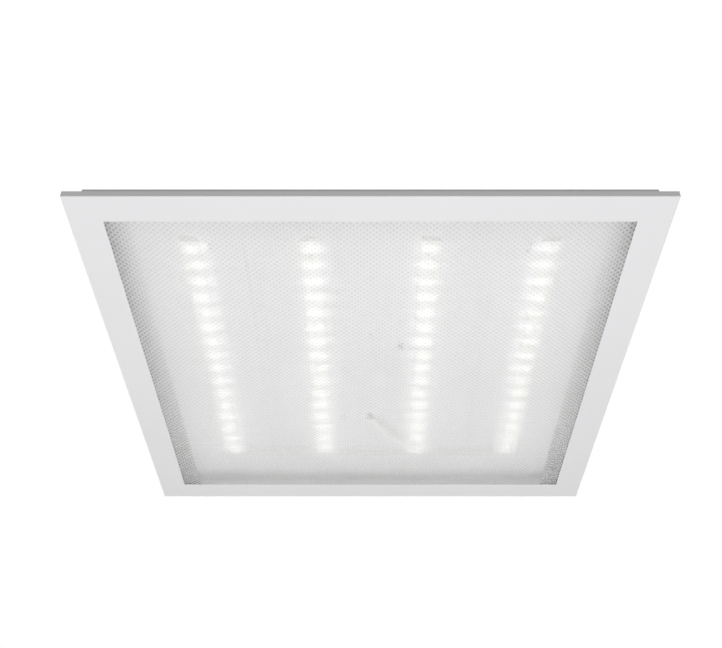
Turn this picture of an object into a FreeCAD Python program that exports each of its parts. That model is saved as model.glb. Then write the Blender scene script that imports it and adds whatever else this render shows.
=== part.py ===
"""Recessed troffer light, 595 mm square, for a 600 mm ceiling grid.

The light lies as it hangs: its white front frame faces down at z = 0, and the origin is the centre of
that face.  The four LED boards run along Y.  Above the frame come the prismatic lens, its foam gasket,
the back tray with the boards under its top sheet, and on the tray's back the driver box with its
hinged cover, four hanger brackets and four swing-out grid clips.
"""
import FreeCAD, Part
import math
import os
import re

from FreeCAD import Placement, Rotation, Vector
import Sketcher

# Driving sizes in millimetres, each in a cell of the sheet named Dims.
SIZES = {
    # front frame: flat face, window and upturned rim
    "frame_side": 595.0, "face_width": 34.0, "frame_sheet": 0.8, "rim_height": 7.2, "rim_bend": 1.0,
    # lens and gasket
    "lens_thickness": 2.0, "lens_clearance": 1.5, "gasket_thickness": 1.2, "gasket_width": 10.0,
    # back tray
    "tray_inset": 13.5, "tray_top": 25.0, "tray_sheet": 0.8, "tray_flange": 12.0, "tray_bend": 1.6,
    "bead_length": 440.0, "bead_width": 14.0, "bead_height": 1.5, "bead_corner": 1.5,
    # cleats and side screws that hold the frame to the tray
    "cleat_length": 24.0, "cleat_foot": 9.0, "cleat_height": 13.0, "cleat_sheet": 1.0,
    "cleat_offset": 180.0, "screw_level": 10.0, "screw_radius": 2.0, "screw_length": 7.0,
    "screw_head": 3.5, "screw_head_height": 2.2, "screw_slack": 0.15, "cross_width": 0.9,
    "cross_length": 3.6, "cross_depth": 1.0,
    # LED boards
    "board_pitch": 127.0, "board_length": 430.0, "board_width": 20.0, "board_thickness": 1.2,
    "led_pitch": 26.75, "led_length": 3.5, "led_width": 2.8, "led_height": 0.7, "led_chamfer": 0.15,
    "rivet_radius": 1.5, "rivet_head": 3.0, "rivet_head_height": 0.9, "rivet_tail": 2.3,
    "rivet_tail_height": 1.2, "rivet_slack": 0.1,
    "connector_length": 9.0, "connector_width": 7.0, "connector_height": 3.2, "connector_margin": 1.5,
    "connector_hole": 1.1, "connector_holes_apart": 4.4, "connector_inlets_apart": 3.6,
    # driver box, its cover, hinge and closing screw
    "box_length": 280.0, "box_width": 90.0, "box_height": 32.0, "box_sheet": 0.8, "box_bend": 1.5,
    "cover_lip": 6.0, "cover_gap": 0.3, "cover_bend": 0.6,
    "knuckle_radius": 2.4, "knuckle_length": 40.0, "knuckle_gap": 0.4, "hinge_standoff": 0.4,
    "pin_radius": 1.25, "pin_slack": 0.05, "pin_head": 2.0, "pin_head_length": 1.0,
    "closing_inset": 8.0, "closing_tab": 14.0, "closing_tab_length": 24.0, "closing_radius": 1.8,
    "closing_slack": 0.5, "closing_length": 5.0, "closing_knob": 5.0, "closing_knob_height": 5.0,
    "grip_radius": 0.6, "nut_across": 3.9, "nut_height": 2.6,
    "box_rivet_radius": 1.6, "box_rivet_head": 3.2, "box_rivet_head_height": 1.1,
    "box_rivet_tail": 2.5, "box_rivet_tail_height": 1.2, "box_rivet_margin_x": 9.0,
    "box_rivet_margin_y": 12.0,
    # grommets for the mains cable and for the output leads
    "inlet_level": 15.0, "inlet_bore": 4.0, "inlet_neck": 6.0, "inlet_collar": 8.5,
    "inlet_collar_length": 2.0, "inlet_nose": 6.0, "inlet_nose_radius": 6.6, "inlet_slack": 0.1,
    "grommet_bore": 4.0, "grommet_neck": 5.4, "grommet_collar": 7.0, "grommet_collar_height": 1.2,
    "grommet_margin": 20.0,
    # LED driver
    "driver_length": 140.0, "driver_width": 55.0, "driver_height": 22.0, "driver_wall": 1.6,
    "driver_lid": 1.8, "driver_gap": 9.0, "driver_ear": 9.0, "driver_ear_width": 16.0,
    "driver_ear_height": 3.0, "driver_ledge": 2.0, "driver_ledge_level": 5.0,
    "driver_board_thickness": 1.6, "driver_board_slack": 0.3, "driver_bend": 2.0,
    "driver_hole": 1.7, "driver_hole_level": 13.0, "driver_holes_apart": 12.0,
    "driver_screw_radius": 1.5, "driver_screw_length": 5.0, "driver_screw_head": 2.9,
    "driver_screw_head_height": 1.8, "transformer_length": 30.0, "transformer_width": 28.0,
    "transformer_height": 12.0, "core_width": 12.0, "core_rise": 1.5, "transformer_place": 12.0,
    "capacitor_radius": 5.5, "capacitor_height": 13.0, "capacitor_place": 42.0,
    "capacitors_apart": 18.0, "choke_radius": 8.0, "choke_bore": 3.0, "choke_height": 8.0,
    "choke_place": -40.0,
    # mains terminal block
    "block_gap": 32.0, "block_depth": 18.0, "block_height": 18.0, "pole_pitch": 11.0,
    "block_chamfer": 0.8, "button_side": 5.0, "button_rise": 3.0, "button_stem": 6.0,
    "button_travel": 2.0, "button_slack": 0.3, "button_chamfer": 0.5, "wire_level": 5.0,
    "wire_hole": 1.6, "clamp_width": 6.0, "clamp_depth": 8.0, "clamp_height": 5.6, "clamp_slack": 0.2,
    # earth point
    "stud_beside": 8.5, "stud_behind": 15.0, "stud_radius": 2.0, "stud_rise": 11.0, "stud_head": 3.6,
    "stud_head_height": 1.2, "stud_slack": 0.1, "earth_nut_across": 3.9, "earth_nut_height": 3.0,
    "lug_radius": 4.4, "lug_thickness": 0.8, "lug_neck": 3.6, "lug_barrel": 1.9,
    "lug_barrel_length": 8.0, "lug_reach": 14.0,
    # leads
    "mains_lead": 1.2, "output_lead": 0.9, "lead_slack": 0.05, "lead_entry": 5.0,
    "lead_straight": 12.0, "earth_straight": 18.0, "output_apart": 0.54, "output_drop": 7.2,
    "output_spread": 2.7, "output_rise": 0.9, "output_entry": 1.0, "jumper_bow": 3.0,
    "jumper_entry": 2.0,
    # hanger brackets
    "hanger_spread_x": 300.0, "hanger_spread_y": 400.0, "hanger_width": 18.0, "hanger_sheet": 1.2,
    "hanger_rise": 11.0, "hanger_front": 8.0, "hanger_back": 10.0, "hanger_foot": 16.0,
    "hanger_hole": 2.5, "hanger_rivets_apart": 9.0,
    # grid clips and their pivots
    "clip_inset": 12.0, "clip_spread": 380.0, "clip_width": 12.0, "clip_sheet": 1.0,
    "clip_foot": 14.0, "clip_rise": 13.2, "clip_reach": 38.0, "pivot_radius": 2.0,
    "pivot_slack": 0.05, "pivot_head": 4.0, "pivot_head_height": 1.2, "pivot_tail": 3.0,
    "pivot_tail_height": 1.0, "pivot_play": 0.1,
}

# Counts of what repeats.
BOARDS = 4
LEDS_PER_BOARD = 16
RIVET_PITCHES = 7
POLES = 3
GRIPS = 16

# Shares of a jumper lead's length at which it bends.
JUMPER_BENDS = (0.3, 0.7)

# Distances under this are none, and a tube's volume may be this share out.
TOUCH = 1e-6
VOLUME_SHARE = 0.01

# Names for sizes that follow from the driving sizes.
FOLLOWING = {
    "window_side": "frame_side - 2*face_width",
    "tray_side": "frame_side - 2*tray_inset",
    "lens_side": "tray_side - 2*lens_clearance",
    "gasket_level": "frame_sheet + lens_thickness",
    "tray_level": "gasket_level + gasket_thickness",
    "tray_under": "tray_top - tray_sheet",
    "board_level": "tray_under - board_thickness",
    "connector_level": "board_level - connector_height/2",
    "connector_y": "board_length/2 - connector_margin - connector_length/2",
    "connector_front": "connector_y - connector_length/2",
    "box_floor": "tray_top + box_sheet",
    "box_top": "tray_top + box_height",
    "cover_under": "box_top - box_sheet",
    "hinge_x": "-box_width/2 - hinge_standoff - knuckle_radius",
    "hinge_z": "box_top - knuckle_radius",
    "knuckle_bore": "pin_radius + pin_slack",
    "hinge_half": "1.5*knuckle_length + knuckle_gap",
    "closing_x": "box_width/2 - closing_inset",
    "closing_hole": "closing_radius + closing_slack",
    "grommet_y": "box_length/2 - grommet_margin",
    "driver_end": "grommet_y - grommet_collar - driver_gap - driver_ear",
    "driver_start": "driver_end - driver_length",
    "driver_place": "driver_end - driver_length/2",
    "driver_board_level": "box_floor + driver_ledge_level",
    "driver_board_top": "driver_board_level + driver_board_thickness",
    "block_rear": "driver_start - driver_ear - block_gap",
    "block_place": "block_rear - block_depth/2",
    "block_top": "box_floor + block_height",
    "block_length": "pole_pitch*3",
    "stud_x": "driver_width/2 + stud_beside",
    "stud_y": "driver_start + stud_behind",
    "lug_bore": "mains_lead + lead_slack",
    "lug_axis": "box_floor + lug_barrel",
    "clip_x": "tray_side/2 - clip_inset",
}

DOC = FreeCAD.newDocument("troffer_light")
DIMS = DOC.addObject("Spreadsheet::Sheet", "Dims")
NODES = {}


# ---------------------------------------------------------------- sizes

def fill_sheet():
    """Put every driving size in a cell of its own, with its name beside it."""
    for row, (name, size) in enumerate(SIZES.items(), start=1):
        DIMS.set(f"A{row}", name.replace("_", " "))
        DIMS.set(f"B{row}", str(size))
        DIMS.setAlias(f"B{row}", name)
    DOC.recompute()


def formula(text):
    """Write out the names in a formula down to cells of the sheet."""
    def swap(match):
        word = match.group(0)
        if word in FOLLOWING:
            return f"({formula(FOLLOWING[word])})"
        return f"Dims.{word}" if word in SIZES else word
    return re.sub(r"[a-z_]+", swap, str(text))


def value(text):
    """The number that a formula gives now."""
    return float(DIMS.evalExpression(formula(text)))


def bind(thing, **sizes):
    """Tie properties to formulas; two underscores stand for a dot."""
    for path, text in sizes.items():
        thing.setExpression(path.replace("__", "."), formula(text))


# ---------------------------------------------------------------- sketches

def start_body(name):
    """An empty body that becomes one sub-part."""
    owner = DOC.addObject("PartDesign::Body", name)
    owner.Label = name
    return owner


def sketch(owner, name, plane="XY_Plane", x="0", y="0", z="0"):
    """A sketch on one of the body's own planes, shifted by x, y and z of that plane."""
    drawing = owner.newObject("Sketcher::SketchObject", name)
    support = next(item for item in owner.Origin.OriginFeatures if item.Role == plane)
    drawing.AttachmentSupport = [(support, "")]
    drawing.MapMode = "FlatFace"
    bind(drawing, AttachmentOffset__Base__x=x, AttachmentOffset__Base__y=y, AttachmentOffset__Base__z=z)
    return drawing


def hold(drawing, item, end, x, y):
    """Fix a point of a sketch at the formulas x and y."""
    for kind, axis, text in (("DistanceX", -2, x), ("DistanceY", -1, y)):
        size = value(text)
        if abs(size) < TOUCH:
            drawing.addConstraint(Sketcher.Constraint("PointOnObject", item, end, axis))
            continue
        ends = (-1, 1, item, end) if size > 0 else (item, end, -1, 1)
        index = drawing.addConstraint(Sketcher.Constraint(kind, *ends, abs(size)))
        sign = "" if size > 0 else "-"
        drawing.setExpression(f"Constraints[{index}]", f"{sign}({formula(text)})")


def polygon(drawing, corners):
    """A closed outline through corners given as pairs of formulas."""
    places = [Vector(value(x), value(y), 0) for x, y in corners]
    first = drawing.GeometryCount
    count = len(corners)
    for step in range(count):
        drawing.addGeometry(Part.LineSegment(places[step], places[(step + 1) % count]))
    for step in range(count):
        here, after = first + step, first + (step + 1) % count
        drawing.addConstraint(Sketcher.Constraint("Coincident", here, 2, after, 1))
    for step, (x, y) in enumerate(corners):
        hold(drawing, first + step, 1, x, y)


def rectangle(drawing, length, width, x="0", y="0"):
    """A rectangle centred on x and y."""
    low_x, high_x = f"({x}) - ({length})/2", f"({x}) + ({length})/2"
    low_y, high_y = f"({y}) - ({width})/2", f"({y}) + ({width})/2"
    polygon(drawing, [(low_x, low_y), (high_x, low_y), (high_x, high_y), (low_x, high_y)])


def circle(drawing, radius, x="0", y="0"):
    """A circle centred on x and y."""
    centre = Vector(value(x), value(y), 0)
    item = drawing.addGeometry(Part.Circle(centre, Vector(0, 0, 1), value(radius)))
    index = drawing.addConstraint(Sketcher.Constraint("Radius", item, value(radius)))
    drawing.setExpression(f"Constraints[{index}]", formula(radius))
    hold(drawing, item, 3, x, y)


# ---------------------------------------------------------------- features

def extrude(owner, kind, drawing, length, middle, flip):
    """A pad or pocket of a sketch, to both sides of it or turned round where asked."""
    feature = owner.newObject(kind, drawing.Name + "_" + kind.split("::")[1].lower())
    feature.Profile = drawing
    feature.Reversed = flip
    bind(feature, Length=length)
    if middle:
        feature.SideType = "Symmetric"
    DOC.recompute()
    return feature


def pad(owner, drawing, length, middle=False, flip=False):
    """Add the sketch's outline as solid."""
    return extrude(owner, "PartDesign::Pad", drawing, length, middle, flip)


def pocket(owner, drawing, length, middle=False, flip=False):
    """Cut the sketch's outline away; it has to take something off."""
    before = owner.Shape.Volume
    feature = extrude(owner, "PartDesign::Pocket", drawing, length, middle, flip)
    if owner.Shape.Volume >= before:
        raise ValueError(f"{feature.Name} cuts nothing")
    return feature


def revolve(owner, drawing):
    """Turn the sketch's outline about its own vertical axis."""
    feature = owner.newObject("PartDesign::Revolution", drawing.Name + "_turned")
    feature.Profile = drawing
    feature.ReferenceAxis = (drawing, ["V_Axis"])
    feature.Angle = 360
    DOC.recompute()
    return feature


def edges_where(shape, test):
    """Names of the edges whose middle and direction pass the test."""
    names = []
    for number, edge in enumerate(shape.Edges, start=1):
        if len(edge.Vertexes) == 2:
            start, end = (corner.Point for corner in edge.Vertexes)
            if test((start + end) / 2, (end - start).normalize()):
                names.append(f"Edge{number}")
    return names


def dress(owner, kind, size, test):
    """Fillet or chamfer the edges that pass the test."""
    base = owner.Tip
    feature = owner.newObject(f"PartDesign::{kind}", base.Name + "_" + kind.lower())
    feature.Base = (base, edges_where(base.Shape, test))
    bind(feature, **{"Radius" if kind == "Fillet" else "Size": size})
    DOC.recompute()


# ---------------------------------------------------------------- simple solids and groups

def block(name, length, width, height, x, y, z):
    """A box centred on x and y that stands on z."""
    solid = DOC.addObject("Part::Box", name)
    solid.Label = name
    bind(solid, Length=length, Width=width, Height=height, Placement__Base__x=f"({x}) - ({length})/2",
         Placement__Base__y=f"({y}) - ({width})/2", Placement__Base__z=z)
    return solid


def cylinder(name, radius, height, x, y, z):
    """An upright cylinder that stands on z."""
    solid = DOC.addObject("Part::Cylinder", name)
    solid.Label = name
    bind(solid, Radius=radius, Height=height, Placement__Base__x=x, Placement__Base__y=y,
         Placement__Base__z=z)
    return solid


def cut(name, base, tool):
    """The base less the tool."""
    result = DOC.addObject("Part::Cut", name)
    result.Label = name
    result.Base, result.Tool = base, tool
    return result


def fuse(name, shapes):
    """Several solids as one."""
    result = DOC.addObject("Part::MultiFuse", name)
    result.Label = name
    result.Shapes = shapes
    return result


def hex_nut(name, across, height, bore, x, y, z):
    """A hexagon nut; across is its radius over the corners."""
    prism = DOC.addObject("Part::Prism", name + "_hexagon")
    prism.Polygon = 6
    bind(prism, Circumradius=across, Height=height, Placement__Base__x=x, Placement__Base__y=y,
         Placement__Base__z=z)
    return cut(name, prism, cylinder(name + "_bore", bore, height, x, y, z))


def turned(name, outline, plane="XZ_Plane", x="0", y="0", z="0"):
    """A turned solid from half of its section, as pairs of radius and height."""
    owner = start_body(name)
    profile = sketch(owner, name + "_section", plane, x, y, z)
    polygon(profile, outline)
    revolve(owner, profile)
    return owner


def rivet(name, radius, head, head_height, grip, tail, tail_height):
    """A rivet with its head under the sheets, and its tail on top of them, a grip higher."""
    return turned(name, [
        ("0", f"-({head_height})"), (head, f"-({head_height})"), (head, "0"), (radius, "0"),
        (radius, grip), (tail, grip), (tail, f"({grip}) + {tail_height}"),
        ("0", f"({grip}) + {tail_height}")])


def cross_recess(owner, level):
    """A crossed driver recess in a screw head."""
    for turn, sides in enumerate([("cross_length", "cross_width"), ("cross_width", "cross_length")]):
        slot = sketch(owner, f"{owner.Name}_recess_{turn}", z=level)
        rectangle(slot, *sides)
        pocket(owner, slot, "cross_depth")


def copies(name, master, spots):
    """A group of like solids; each spot is x, y, z and a rotation."""
    links = []
    for number, (x, y, z, turn) in enumerate(spots, start=1):
        link = DOC.addObject("App::Link", f"{name}_{number}")
        link.LinkedObject = master
        link.LinkTransform = False
        link.Placement = Placement(Vector(), turn)
        bind(link, Placement__Base__x=x, Placement__Base__y=y, Placement__Base__z=z)
        links.append(link)
    group = DOC.addObject("Part::Compound", name)
    group.Label = name
    group.Links = links
    return group


def turn_about_z(degrees):
    """A rotation about the upright axis."""
    return Rotation(Vector(0, 0, 1), degrees)


LYING = Rotation(Vector(0, 1, 0), 90)
STRAIGHT = Rotation()


def keep(*objects):
    """Note sub-parts that are written out, under their labels."""
    for item in objects:
        NODES[item.Label] = item


# ---------------------------------------------------------------- places that several pieces share

def signs():
    """The four sign pairs of a rectangle's corners."""
    return [(a, b) for a in (-1, 1) for b in (-1, 1)]


def side_spots(out, along, level, lying=False):
    """Two spots on each of the four sides, turned to face outwards."""
    spots = []
    for quarter in range(4):
        for sign in (-1, 1):
            far = f"({out})" if quarter < 2 else f"-({out})"
            near = f"{sign}*({along})"
            x, y = (far, near) if quarter % 2 == 0 else (near, far)
            turn = turn_about_z(90 * quarter)
            spots.append((x, y, level, turn.multiply(LYING) if lying else turn))
    return spots


def board_x(number):
    """Where the middle of a numbered board lies."""
    return f"board_pitch*({number} - {(BOARDS + 1) / 2})"


def board_rivet_ys():
    """Rivet places along a board, between LEDs."""
    return [f"{step * RIVET_PITCHES}*led_pitch" for step in (-1, 0, 1)]


def box_rivet_places():
    """The four rivets near the corners of the driver box."""
    return [(f"{a}*(box_width/2 - box_rivet_margin_x)", f"{b}*(box_length/2 - box_rivet_margin_y)")
            for a, b in signs()]


def driver_screw_places():
    """One screw in the ear at each end of the driver."""
    return [("0", f"driver_place + {sign}*(driver_length/2 + driver_ear/2)") for sign in (-1, 1)]


def floor_holes():
    """Holes through the driver box's floor and the tray's top sheet, as x, y and radius."""
    holes = [(x, y, "box_rivet_radius + rivet_slack") for x, y in box_rivet_places()]
    holes += [(x, y, "driver_screw_radius + screw_slack") for x, y in driver_screw_places()]
    holes.append(("stud_x", "stud_y", "stud_radius + stud_slack"))
    holes.append(("0", "grommet_y", "grommet_neck + inlet_slack"))
    return holes


def hanger_rivet_places():
    """Two rivets in the foot of each hanger bracket."""
    reach = "hanger_spread_x/2 + hanger_back + hanger_foot/2"
    return [(f"{a}*({reach})", f"{b}*hanger_spread_y/2 + {c}*hanger_rivets_apart/2")
            for a, b in signs() for c in (-1, 1)]


def clip_places():
    """The pivots of the four grid clips, numbered from the front left."""
    return [(f"{a}*clip_x", f"{b}*clip_spread/2") for b in (-1, 1) for a in (-1, 1)]


def pole_x(number):
    """Where a numbered pole of the terminal block lies."""
    return f"pole_pitch*({number} - 2)"


# ---------------------------------------------------------------- frame, lens and gasket

def front_frame():
    """Pressed frame: a flat face round the window and a rim turned up at its outer edge."""
    frame = start_body("front_frame")
    for name, inner, height in (("face", "window_side", "frame_sheet"),
                                ("rim", "frame_side - 2*frame_sheet", "rim_height")):
        ring = sketch(frame, name)
        rectangle(ring, "frame_side", "frame_side")
        rectangle(ring, inner, inner)
        pad(frame, ring, height)
    edge = value("frame_side") / 2
    dress(frame, "Fillet", "rim_bend",
          lambda middle, along: middle.z < TOUCH and max(abs(middle.x), abs(middle.y)) > edge - TOUCH)
    keep(frame)


def lens_and_gasket():
    """The lens sheet on the frame's face, and a foam gasket on the lens."""
    lens = block("prismatic_lens", "lens_side", "lens_side", "lens_thickness", "0", "0", "frame_sheet")
    gasket = start_body("lens_gasket")
    ring = sketch(gasket, "gasket_ring", z="gasket_level")
    rectangle(ring, "lens_side", "lens_side")
    rectangle(ring, "lens_side - 2*gasket_width", "lens_side - 2*gasket_width")
    pad(gasket, ring, "gasket_thickness")
    keep(lens, gasket)


# ---------------------------------------------------------------- tray and what ties the frame to it

def back_tray():
    """Folded tray, open downwards, with a flange turned in over the gasket."""
    tray = start_body("back_tray")
    outline = sketch(tray, "tray_outline", z="tray_level")
    rectangle(outline, "tray_side", "tray_side")
    pad(tray, outline, "tray_top - tray_level")
    top, under = value("tray_top"), value("tray_under")
    dress(tray, "Fillet", "tray_bend", lambda middle, along: middle.z > top - TOUCH)
    inside = sketch(tray, "tray_inside", z="tray_level")
    rectangle(inside, "tray_side - 2*tray_sheet", "tray_side - 2*tray_sheet")
    pocket(tray, inside, "tray_under - tray_level", flip=True)
    dress(tray, "Fillet", "tray_bend - tray_sheet",
          lambda middle, along: abs(middle.z - under) < TOUCH and abs(along.z) < 0.1)
    flange = sketch(tray, "tray_flange_ring", z="tray_level")
    rectangle(flange, "tray_side", "tray_side")
    rectangle(flange, "tray_side - 2*tray_flange", "tray_side - 2*tray_flange")
    pad(tray, flange, "tray_sheet")
    beads(tray)
    tray_holes(tray)
    keep(tray)


def beads(tray):
    """Two long beads pressed up in the top sheet, between the outer boards."""
    outside, inside = sketch(tray, "beads", z="tray_top"), sketch(tray, "beads_inside", z="tray_under")
    for sign in (-1, 1):
        rectangle(outside, "bead_width", "bead_length", f"{sign}*board_pitch")
        rectangle(inside, "bead_width - 2*tray_sheet", "bead_length - 2*tray_sheet",
                  f"{sign}*board_pitch")
    pad(tray, outside, "bead_height")
    top = value("tray_top")
    dress(tray, "Fillet", "bead_corner",
          lambda middle, along: middle.z > top + 0.1 and abs(along.z) > 0.9)
    pocket(tray, inside, "bead_height", flip=True)


def tray_holes(tray):
    """Holes for the side screws, the board rivets and what is fixed on the tray's back."""
    for plane in ("XZ_Plane", "YZ_Plane"):
        sides = sketch(tray, f"side_holes_{plane[0]}", plane)
        for sign in (-1, 1):
            circle(sides, "screw_radius + screw_slack", f"{sign}*cleat_offset", "screw_level")
        pocket(tray, sides, "2*tray_side", middle=True)
    top = sketch(tray, "top_holes", z="tray_top")
    for number in range(1, BOARDS + 1):
        for place in board_rivet_ys():
            circle(top, "rivet_radius + rivet_slack", board_x(number), place)
    for x, y, radius in floor_holes():
        circle(top, radius, x, y)
    for x, y in hanger_rivet_places():
        circle(top, "box_rivet_radius + rivet_slack", x, y)
    for x, y in clip_places():
        circle(top, "pivot_radius + rivet_slack", x, y)
    pocket(tray, top, "tray_sheet")


def cleats_and_screws():
    """Eight angle cleats on the frame's face, and the screws that hold them to the tray's walls."""
    cleat = start_body("one_cleat")
    profile = sketch(cleat, "cleat_profile", "XZ_Plane")
    polygon(profile, [("0", "0"), ("cleat_foot", "0"), ("cleat_foot", "cleat_sheet"),
                      ("cleat_sheet", "cleat_sheet"), ("cleat_sheet", "cleat_height"),
                      ("0", "cleat_height")])
    pad(cleat, profile, "cleat_length", middle=True)
    hole = sketch(cleat, "cleat_hole", "YZ_Plane")
    circle(hole, "screw_radius + screw_slack", "0", "screw_level - frame_sheet")
    pocket(cleat, hole, "4*cleat_sheet", middle=True)
    screw = turned("one_frame_screw", [
        ("0", "-screw_length"), ("screw_radius", "-screw_length"), ("screw_radius", "0"),
        ("screw_head", "0"), ("screw_head", "screw_head_height"), ("0", "screw_head_height")])
    cross_recess(screw, "screw_head_height")
    keep(copies("frame_cleats", cleat, side_spots("tray_side/2", "cleat_offset", "frame_sheet")))
    keep(copies("frame_screws", screw,
                side_spots("tray_side/2 + cleat_sheet", "cleat_offset", "screw_level", lying=True)))


# ---------------------------------------------------------------- LED boards

def led_board(number):
    """One board with holes for its rivets."""
    board = start_body(f"led_board_{number}")
    outline = sketch(board, f"board_outline_{number}", z="board_level")
    rectangle(outline, "board_width", "board_length", board_x(number))
    for place in board_rivet_ys():
        circle(outline, "rivet_radius + rivet_slack", board_x(number), place)
    pad(board, outline, "board_thickness")
    keep(board)


def leds():
    """Sixteen packages under each board."""
    package = start_body("one_led")
    outline = sketch(package, "led_outline")
    rectangle(outline, "led_width", "led_length")
    pad(package, outline, "led_height")
    dress(package, "Chamfer", "led_chamfer", lambda middle, along: middle.z < TOUCH)
    for number in range(1, BOARDS + 1):
        spots = [(board_x(number), f"({row} - {(LEDS_PER_BOARD - 1) / 2})*led_pitch",
                  "board_level - led_height", STRAIGHT) for row in range(LEDS_PER_BOARD)]
        keep(copies(f"led_row_{number}", package, spots))


def board_fixings():
    """Push rivets that hold the boards up, and a wire connector at the far end of each board."""
    fixing = rivet("one_board_rivet", "rivet_radius", "rivet_head", "rivet_head_height",
                   "board_thickness + tray_sheet", "rivet_tail", "rivet_tail_height")
    keep(copies("board_rivets", fixing, [(board_x(number), place, "board_level", STRAIGHT)
                                         for number in range(1, BOARDS + 1)
                                         for place in board_rivet_ys()]))
    connector = start_body("one_connector")
    outline = sketch(connector, "connector_outline", z="-connector_height/2")
    rectangle(outline, "connector_width", "connector_length")
    pad(connector, outline, "connector_height")
    across = sketch(connector, "connector_bores", "YZ_Plane")
    inlets = sketch(connector, "connector_inlets", "XZ_Plane", z="connector_length/2")
    for sign in (-1, 1):
        circle(across, "connector_hole", f"{sign}*connector_holes_apart/2", "0")
        circle(inlets, "connector_hole", f"{sign}*connector_inlets_apart/2", "0")
    pocket(connector, across, "2*connector_width", middle=True)
    pocket(connector, inlets, "(connector_length - connector_holes_apart)/2 - connector_hole")
    keep(copies("board_connectors", connector,
                [(board_x(number), "connector_y", "connector_level", STRAIGHT)
                 for number in range(1, BOARDS + 1)]))


# ---------------------------------------------------------------- driver box and cover

def knuckle(owner, name, middle, length, tab_level):
    """A hinge knuckle on the hinge line and the tab that joins it to its sheet."""
    offset = f"-({middle})"
    roll = sketch(owner, f"{name}_roll", "XZ_Plane", z=offset)
    circle(roll, "knuckle_radius", "hinge_x", "hinge_z")
    pad(owner, roll, length, middle=True)
    tab = sketch(owner, f"{name}_tab", "XZ_Plane", z=offset)
    rectangle(tab, "-hinge_x - box_width/2 + box_sheet", "box_sheet",
              "(hinge_x - box_width/2 + box_sheet)/2", tab_level)
    pad(owner, tab, length, middle=True)
    bore = sketch(owner, f"{name}_bore", "XZ_Plane", z=offset)
    circle(bore, "knuckle_bore", "hinge_x", "hinge_z")
    pocket(owner, bore, f"({length}) + knuckle_gap", middle=True)


def driver_box():
    """Steel box on the tray's back, open at the top, with two hinge knuckles and a closing tab."""
    box = start_body("driver_box")
    outline = sketch(box, "box_outline", z="tray_top")
    rectangle(outline, "box_width", "box_length")
    pad(box, outline, "box_height - box_sheet")
    dress(box, "Fillet", "box_bend", lambda middle, along: abs(along.z) > 0.9)
    inside = sketch(box, "box_inside", z="cover_under")
    rectangle(inside, "box_width - 2*box_sheet", "box_length - 2*box_sheet")
    pocket(box, inside, "box_height - 2*box_sheet")
    wall = value("box_width/2 - box_sheet")
    dress(box, "Fillet", "box_bend - box_sheet",
          lambda middle, along: abs(along.z) > 0.9 and abs(abs(middle.x) - wall) < TOUCH)
    tab = sketch(box, "closing_tab_outline", z="cover_under - box_sheet")
    rectangle(tab, "closing_tab", "closing_tab_length", "box_width/2 - closing_tab/2")
    circle(tab, "closing_hole", "closing_x")
    pad(box, tab, "box_sheet")
    for sign in (-1, 1):
        knuckle(box, f"box_knuckle_{sign + 2}", f"{sign}*(knuckle_length + knuckle_gap)",
                "knuckle_length", "hinge_z - knuckle_radius + box_sheet/2")
    floor = sketch(box, "floor_holes", z="box_floor")
    for x, y, radius in floor_holes():
        circle(floor, radius, x, y)
    pocket(box, floor, "box_sheet")
    inlet = sketch(box, "inlet_hole", "XZ_Plane", z="box_length/2")
    circle(inlet, "inlet_neck + inlet_slack", "0", "tray_top + inlet_level")
    pocket(box, inlet, "2*box_sheet")
    keep(box)


def box_cover():
    """Cover sheet with lips over three walls and the middle hinge knuckle on the fourth side."""
    cover = start_body("box_cover")
    reach = "cover_gap + box_sheet"
    plate = sketch(cover, "cover_plate", z="cover_under")
    rectangle(plate, f"box_width + {reach}", f"box_length + 2*({reach})", f"({reach})/2")
    pad(cover, plate, "box_sheet")
    lips = [("box_sheet", f"box_length + 2*({reach})", "box_width/2 + cover_gap + box_sheet/2", "0")]
    lips += [(f"box_width + {reach}", "box_sheet", f"({reach})/2",
              f"{sign}*(box_length/2 + cover_gap + box_sheet/2)") for sign in (-1, 1)]
    for number, (length, width, x, y) in enumerate(lips):
        lip = sketch(cover, f"lip_{number}", z="box_top - cover_lip")
        rectangle(lip, length, width, x, y)
        pad(cover, lip, "cover_lip")
    top, left = value("box_top"), value("-box_width/2")
    dress(cover, "Fillet", "cover_bend",
          lambda middle, along: middle.z > top - TOUCH and middle.x > left + TOUCH)
    knuckle(cover, "cover_knuckle", "0", "knuckle_length", "cover_under + box_sheet/2")
    hole = sketch(cover, "closing_hole", z="box_top")
    circle(hole, "closing_hole", "closing_x")
    pocket(cover, hole, "box_sheet")
    keep(cover)


def hinge_pin():
    """The pin along the hinge line, with a head at its rear end."""
    end = "hinge_half + pin_head_length"
    keep(turned("hinge_pin", [
        ("0", "-hinge_half"), ("pin_radius", "-hinge_half"), ("pin_radius", "hinge_half"),
        ("pin_head", "hinge_half"), ("pin_head", end), ("0", end)],
        plane="XY_Plane", x="hinge_x", z="hinge_z"))


def closing_screw():
    """Knurled thumb screw through the cover's edge, and its nut under the box's tab."""
    screw = turned("cover_screw", [
        ("0", "cover_under - closing_length"), ("closing_radius", "cover_under - closing_length"),
        ("closing_radius", "box_top"), ("closing_knob", "box_top"),
        ("closing_knob", "box_top + closing_knob_height"), ("0", "box_top + closing_knob_height")],
        x="closing_x")
    groove = sketch(screw, "grip_groove", x="closing_x", z="box_top + closing_knob_height")
    circle(groove, "grip_radius", "closing_knob")
    first = pocket(screw, groove, "closing_knob_height")
    ring = screw.newObject("PartDesign::PolarPattern", "grip_ring")
    ring.Originals = [first]
    ring.Axis = (groove, ["N_Axis"])
    ring.Angle = 360
    ring.Occurrences = GRIPS
    screw.Tip = ring
    nut = hex_nut("cover_nut", "nut_across", "nut_height", "closing_hole", "closing_x", "0",
                  "cover_under - box_sheet - nut_height")
    keep(screw, nut)


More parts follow.
